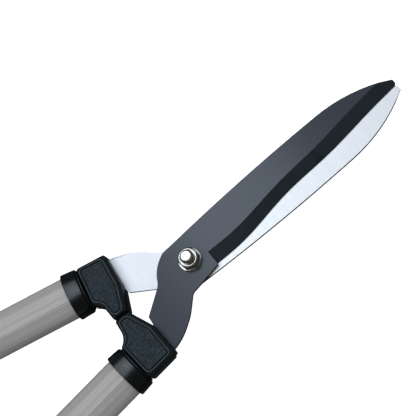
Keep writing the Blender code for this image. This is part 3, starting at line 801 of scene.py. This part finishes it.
def casing_top(side):
    """The upper cover: chamfered sides, a raised rim, a groove and a pebbled panel."""
    corners = casing_corners(side, True)
    on_face = panel_corners(corners, FRONT_SLOPE)
    face = CASING_TOP
    panel = face - PANEL_DEPTH
    chamfer_foot = 0.7 * MM
    shoulder = [  # inset from the outline, and height
        (chamfer_foot, GAP / 2),
        (0.0, 1.0 * MM),
        (0.0, face - 2.6 * MM),
        (0.4 * MM, face - 1.7 * MM),
        (1.6 * MM, face),
        (2.9 * MM, face),
        (3.2 * MM, face - 1.6 * MM),
        (3.7 * MM, face - 1.6 * MM),
        (4.0 * MM, panel),
        (PANEL_INSET, panel),
    ]
    sections = []
    for inset, z in soften(shoulder, 0.3 * MM, 3):
        outline = rounded(inset_corners(on_face if inset > chamfer_foot else corners, inset))
        sections.append([(x, y, z) for x, y in outline])
    bm = loft(sections, last_cap=False)
    pebbled_panel(bm, on_face, [(x, y) for x, y, z in sections[-1]], panel)
    name = LABEL[side] + "_casing_top"
    place(bm, handle_matrix(), side)
    add_piece(name + "_cover", bm, BODY[side], ["nylon", "pebble"], 40, name)


def casing_bottom(side):
    """The lower cover: chamfered sides, a shallow groove and a recess for each screw head."""
    corners = casing_corners(side, False)
    on_face = panel_corners(corners)
    face = CASING_BOTTOM
    shoulder = [  # inset from the outline, and height
        (0.6 * MM, -GAP / 2),
        (0.0, -0.8 * MM),
        (0.0, face + 2.6 * MM),
        (1.3 * MM, face + 0.3 * MM),
        (2.0 * MM, face),
        (2.9 * MM, face),
        (3.0 * MM, face + 0.6 * MM),
        (3.6 * MM, face + 0.6 * MM),
        (3.7 * MM, face + 0.1 * MM),
        (PANEL_INSET, face + 0.1 * MM),
    ]
    sections = []
    for inset, z in soften(shoulder, 0.3 * MM, 3):
        outline = rounded(inset_corners(on_face if inset > 1.5 * MM else corners, inset))
        sections.append([(x, y, z) for x, y in outline])
    bm = loft(sections)
    seat = CASING_BOTTOM + SCREW_HEAD_HEIGHT + 2 * GAP
    rim = SCREW_HEAD_RADIUS + GAP
    mouth = rim + 0.5 * MM
    sink = [(mouth, face - 1 * MM), (mouth, face - 0.1 * MM), (rim, face + 0.5 * MM), (rim, seat)]
    for centre in SCREW_SPOTS.values():
        recess = turned(sink, 48)
        bmesh.ops.translate(recess, vec=(*centre, 0), verts=recess.verts)
        bm = with_boolean(bm, recess, "DIFFERENCE")
    name = LABEL[side] + "_casing_bottom"
    place(bm, handle_matrix(), side)
    # The lighter copy of the nylon paints light on this cover's sides.
    add_piece(name + "_cover", bm, BODY[side], ["lower"], 40, name)


def bumper(side):
    """The rubber stop: a block with rounded edges and three ribs on its striking face."""
    low, high = BUMPER_LOW, BUMPER_HIGH
    ribs = 3
    groove = 0.5 * MM  # depth, and half of the width
    pitch = (high[2] - low[2]) / ribs
    face = [(high[0], low[2]), (low[0], low[2])]
    for i in range(1, ribs):
        z = low[2] + i * pitch
        face += [(low[0], z - groove), (low[0] + groove, z), (low[0], z + groove)]
    face += [(low[0], high[2]), (high[0], high[2])]
    section = soften(face, 0.5 * MM)
    middle_x, middle_z = (low[0] + high[0]) / 2, (low[2] + high[2]) / 2
    step = 0.001 * MM
    stations = [(low[1], 0.86), (low[1] + step, 1.0), (high[1] - step, 1.0), (high[1], 0.86)]
    sections = []
    for y, scale in stations:
        ring = []
        for x, z in section:
            ring.append((middle_x + (x - middle_x) * scale, y, middle_z + (z - middle_z) * scale))
        sections.append(ring)
    name = LABEL[side] + "_nose_bumper"
    bm = place(loft(sections), handle_matrix(), side)
    add_piece(name + "_block", bm, BODY[side], ["rubber"], 40, name)


def screw_body():
    """A pan-head screw with a cross recess, head down, with its axis at the origin."""
    head = CASING_BOTTOM + GAP
    seat = head + SCREW_HEAD_HEIGHT
    tip = CASING_TOP - SCREW_TIP_DEPTH
    pan = [
        (SCREW_HEAD_RADIUS - 1.2 * MM, head),
        (SCREW_HEAD_RADIUS - 0.2 * MM, head + 0.5 * MM),
        (SCREW_HEAD_RADIUS, head + 1.2 * MM),
        (SCREW_HEAD_RADIUS, seat),
        (SCREW_RADIUS, seat),
        (SCREW_RADIUS, seat + 1.0 * MM),
    ]
    profile = [(0.4 * MM, head)] + soften(pan, 0.3 * MM)
    profile += threaded(seat + 1.2 * MM, tip - 1.4 * MM, SCREW_RADIUS, 0.45 * MM, 1.3 * MM)
    profile.append((0.5 * MM, tip))
    bm = turned(profile, 48)
    wide, narrow, half = 2.0 * MM, 0.9 * MM, 0.42 * MM  # the cross recess
    levels = [
        (head - 0.5 * MM, wide, half),
        (head + 0.05 * MM, wide, half),
        (head + 1.7 * MM, narrow, 0.6 * half),
    ]
    for turn in (0.0, math.pi / 2):
        slot = loft([[(-w, -t, z), (w, -t, z), (w, t, z), (-w, t, z)] for z, w, t in levels])
        matrix = Matrix.Rotation(turn, 3, "Z")
        bmesh.ops.rotate(slot, cent=(0, 0, 0), matrix=matrix, verts=slot.verts)
        bm = with_boolean(bm, slot, "DIFFERENCE")
    return bm


def screws(side):
    """The four casing screws, each stopped at its own angle."""
    for count, (spot, (x, y)) in enumerate(SCREW_SPOTS.items()):
        name = LABEL[side] + "_" + spot + "_screw"
        bm = screw_body()
        turn = Matrix.Rotation(0.5 + 1.1 * count + 0.4 * side, 4, "Z")
        place(bm, handle_matrix() @ Matrix.Translation((side * x, y, 0)) @ turn)
        add_piece(name + "_body", bm, BODY[side], ["zinc"], 35, name)


# ---------------------------------------------------------------- handles


def plug(side):
    """The moulded plug: a body in the tube, a neck with a thin ridge, and a tongue."""
    inner = -TUBE_WALL - GAP
    stations = [
        (TUBE_START, inner - 0.5 * MM),
        (TUBE_START + 0.5 * MM, inner),
        (PLUG_LENGTH - 2 * MM, inner),
        (PLUG_LENGTH, inner - LEAD_IN),
    ]
    body = oval_sleeve(stations, closed=False)
    neck = loft([oval_ring(NECK_HALF, along) for along in (-5 * MM, TUBE_START + 3 * MM)])
    ridge = [(-1.3 * MM, -0.3 * MM), (-1.15 * MM, 0.0), (-0.6 * MM, 0.0), (-0.45 * MM, -0.3 * MM)]
    flange = loft([oval_ring(grown(RIDGE_HALF, extra), along) for along, extra in ridge])
    half_width, half_height = 11.0 * MM, NECK_HALF[1]
    tongue = box((-half_width, 4.4 * MM, -half_height), (half_width, 13.2 * MM, half_height))
    for part in (neck, tongue, flange):
        body = with_boolean(body, part, "UNION")
    name = LABEL[side] + "_tube_plug"
    bm = place(body, tube_matrix(side))
    add_piece(name + "_body", bm, BODY[side], ["nylon"], 35, name)


def pin(side):
    """The cross pin that locks the plug in the tube, chamfered at both ends."""
    reach = TUBE_HALF[1] - 0.6 * MM
    edge = 0.4 * MM
    profile = [(PIN_RADIUS - edge, -reach), (PIN_RADIUS, -reach + edge), (PIN_RADIUS, reach - edge)]
    bm = turned([*profile, (PIN_RADIUS - edge, reach)], 48)
    bmesh.ops.translate(bm, vec=(0, -PIN_PLACE, 0), verts=bm.verts)
    name = LABEL[side] + "_tube_pin"
    place(bm, tube_matrix(side))
    add_piece(name + "_body", bm, BODY[side], ["zinc"], 35, name)


def collar(side):
    """The ring over the tube's end, wider behind, with a front lip round the plug's neck."""
    lip = -4.0 * MM
    profile = [
        (TUBE_START, lip),
        (0.0, lip),
        (0.0, COLLAR_FRONT_GROWTH),
        (COLLAR_LENGTH, COLLAR_REAR_GROWTH),
        (COLLAR_LENGTH, GAP),
        (TUBE_START, GAP),
    ]
    stations = soften(profile[:-1], 1.1 * MM, 6) + profile[-1:]
    name = LABEL[side] + "_collar"
    bm = place(oval_sleeve(stations), tube_matrix(side))
    add_piece(name + "_ring", bm, BODY[side], ["collar"], 50, name)


def tube(side):
    """The oval tube, with the faint lengthwise lines of drawing."""
    end = TUBE_START + TUBE_LENGTH
    stations = [(TUBE_START, 0.0), (end, 0.0), (end, -TUBE_WALL), (TUBE_START, -TUBE_WALL)]
    rings = []
    for along, extra in stations:
        rings.append(oval_ring(grown(TUBE_HALF, extra), along, 3 * OVAL_STEPS, lines=0.01 * MM))
    name = LABEL[side] + "_tube"
    bm = place(loft(rings, closed=True), tube_matrix(side))
    add_piece(name + "_sleeve", bm, BODY[side], ["paint_" + LABEL[side]], 50, name)


def groove_share(along):
    """How deep the grip is cut at a distance, from 0 on a rib to 1 in a groove's middle."""
    fade = 3 * MM
    from_front = (along - 16 * MM) / fade
    from_rear = (118 * MM - along) / fade
    field = min(1.0, max(0.0, from_front), max(0.0, from_rear))
    return field * max(0.0, math.cos(2 * math.pi * along / GROOVE_PITCH)) ** 3


def grip(side):
    """The hand grip: a stop flange, a palm swell, a flared end and grooves above and below."""
    swell = [(0, 21.5), (1.6, 23.9), (5.4, 23.9), (13, 20.7), (30, 20.9), (55, 22.1)]
    swell += [(82, 21.2), (104, 20.9), (122, 22.6), (131, 23.9), (134.6, 23.9), (136, 22.6)]
    rings = 272
    sections = []
    for i in range(rings + 1):
        along = GRIP_LENGTH * i / rings
        width = smooth_between(swell, along / MM) * MM
        depth = GROOVE_DEPTH * groove_share(along)
        ring = []
        for x, y, z in oval_ring((width, width - GRIP_DROP), GRIP_START + along):
            side_on = min(1.0, max(0.0, (0.62 - abs(x) / width) / 0.12))
            shrink = 1 - depth * side_on / width
            ring.append((x * shrink, y, z * shrink))
        sections.append(ring)
    bore = grown(TUBE_HALF, GAP)
    sections.append(oval_ring(bore, GRIP_START + GRIP_LENGTH))
    sections.append(oval_ring(bore, GRIP_START))
    name = LABEL[side] + "_grip"
    bm = place(loft(sections, closed=True), tube_matrix(side))
    add_piece(name + "_sleeve", bm, BODY[side], ["rubber"], 40, name)


def end_cap(side):
    """The button over the grip's end, with a turned groove, and a spigot inside the tube."""
    start = GRIP_START + GRIP_LENGTH + GAP
    end = start + CAP_THICKNESS
    foot = start - SPIGOT_LENGTH
    spigot = grown(TUBE_HALF, -TUBE_WALL - GAP)
    stations = [(foot, grown(spigot, -LEAD_IN)), (foot + 2 * LEAD_IN, spigot), (start, spigot)]
    stations += [(start, grown(CAP_HALF, -0.4 * MM)), (start + 0.4 * MM, CAP_HALF)]
    edge = 1.6 * MM
    for k in range(7):
        a = math.radians(15 * k)
        along = end - edge * (1 - math.sin(a))
        stations.append((along, grown(CAP_HALF, -edge * (1 - math.cos(a)))))
    for inset, sink in ((5.0, 0.0), (5.2, 0.5), (6.0, 0.5), (6.2, 0.0)):
        stations.append((end - sink * MM, grown(CAP_HALF, -inset * MM)))
    name = LABEL[side] + "_end_cap"
    bm = place(loft([oval_ring(size, along) for along, size in stations]), tube_matrix(side))
    add_piece(name + "_button", bm, BODY[side], ["nylon"], 35, name)


# ---------------------------------------------------------------- studio and camera


def area_light(name, low, high, radiance):
    """A rectangular light that faces down, from its (x, y, z) corners and its radiance."""
    width, depth = high[0] - low[0], high[1] - low[1]
    data = bpy.data.lights.new(name, "AREA")
    data.shape = "RECTANGLE"
    data.size = width
    data.size_y = depth
    data.energy = radiance * math.pi * width * depth
    data.color = LIGHT_TINT
    light = bpy.data.objects.new(name, data)
    light.location = [(a + b) / 2 for a, b in zip(low, high)]
    bpy.context.scene.collection.objects.link(light)


def room():
    """White behind the object, grey as fill light and dark in its reflections."""
    world = bpy.data.worlds.new("studio")
    world.use_nodes = True
    bpy.context.scene.world = world
    tree = world.node_tree
    white = tree.nodes["Background"]
    fill = tree.nodes.new("ShaderNodeBackground")
    dark = tree.nodes.new("ShaderNodeBackground")
    white.inputs["Color"].default_value = (1.0, 1.0, 1.0, 1.0)
    fill.inputs["Color"].default_value = (0.48, 0.49, 0.51, 1.0)
    dark.inputs["Color"].default_value = (0.10, 0.10, 0.095, 1.0)
    ray = tree.nodes.new("ShaderNodeLightPath")
    lighting = tree.nodes.new("ShaderNodeMixShader")
    tree.links.new(ray.outputs["Is Glossy Ray"], lighting.inputs["Fac"])
    tree.links.new(fill.outputs[0], lighting.inputs[1])
    tree.links.new(dark.outputs[0], lighting.inputs[2])
    shown = tree.nodes.new("ShaderNodeMixShader")
    tree.links.new(ray.outputs["Is Camera Ray"], shown.inputs["Fac"])
    tree.links.new(lighting.outputs[0], shown.inputs[1])
    tree.links.new(white.outputs[0], shown.inputs[2])
    tree.links.new(shown.outputs[0], tree.nodes["World Output"].inputs["Surface"])


def floor():
    """A white sheet just under the object, grey in its reflections."""
    sheet = bpy.data.objects.new("floor", bpy.data.meshes.new("floor"))
    bm = bmesh.new()
    bmesh.ops.create_grid(bm, x_segments=4, y_segments=4, size=4.0)
    bm.to_mesh(sheet.data)
    bm.free()
    sheet.location.z = cad_box[0].z - 0.1 * MM
    bpy.context.scene.collection.objects.link(sheet)
    paper = bpy.data.materials.new("floor_paper")
    paper.use_nodes = True
    tree = paper.node_tree
    shader = tree.nodes["Principled BSDF"]
    shader.inputs["Roughness"].default_value = 0.9
    shader.inputs["Specular IOR Level"].default_value = 0.0
    shader.inputs["Emission Color"].default_value = (1.0, 1.0, 1.0, 1.0)
    ray = tree.nodes.new("ShaderNodeLightPath")
    tree.links.new(ray.outputs["Is Camera Ray"], shader.inputs["Emission Strength"])
    tone = tree.nodes.new("ShaderNodeMix")
    tone.data_type = "RGBA"
    tone.inputs[6].default_value = (0.6, 0.6, 0.6, 1.0)
    tone.inputs[7].default_value = (0.07, 0.07, 0.07, 1.0)
    tree.links.new(ray.outputs["Is Glossy Ray"], tone.inputs[0])
    tree.links.new(tone.outputs[2], shader.inputs["Base Color"])
    sheet.data.materials.append(paper)


def studio():
    """Soft boxes overhead, a grey room and a white sheet under the object."""
    for name, (low, high, radiance) in LIGHTS.items():
        area_light(name, low, high, radiance)
    room()
    floor()
    bpy.context.scene.view_settings.view_transform = "Standard"


def camera():
    """Nearly overhead, turned so that the blades run up to the right."""
    target = Vector((0, 0, BLADE_PLANE_Z + 4.3 * MM))
    toward = Vector((0.295, 0.036, 0.9548)).normalized()
    right = Vector((0.6137, 0.7588, -0.2182)).normalized()
    up = toward.cross(right).normalized()
    data = bpy.data.cameras.new("camera")
    data.sensor_width = SENSOR_WIDTH
    data.lens = LENS
    # The camera looks past the pivot so that the pivot falls below and left of the middle.
    offset = Vector((*PIVOT_ON_SENSOR, -LENS)).normalized()
    turn = Vector((0, 0, -1)).rotation_difference(offset).to_matrix().inverted()
    aim = Matrix((right, up, toward)).transposed() @ turn
    obj = bpy.data.objects.new("camera", data)
    obj.matrix_world = Matrix.Translation(target + toward * CAMERA_DISTANCE) @ aim.to_4x4()
    bpy.context.scene.collection.objects.link(obj)
    bpy.context.scene.camera = obj


camera()
studio()
blade("top_blade", RIGHT)
blade("bottom_blade", LEFT)
pivot_washer()
cap_nut()
pivot_bolt()
pivot_bush()
for side in (RIGHT, LEFT):
    for build in (casing_top, casing_bottom, bumper, screws, plug, pin, collar, tube, grip, end_cap):
        build(side)

bpy.context.view_layer.update()
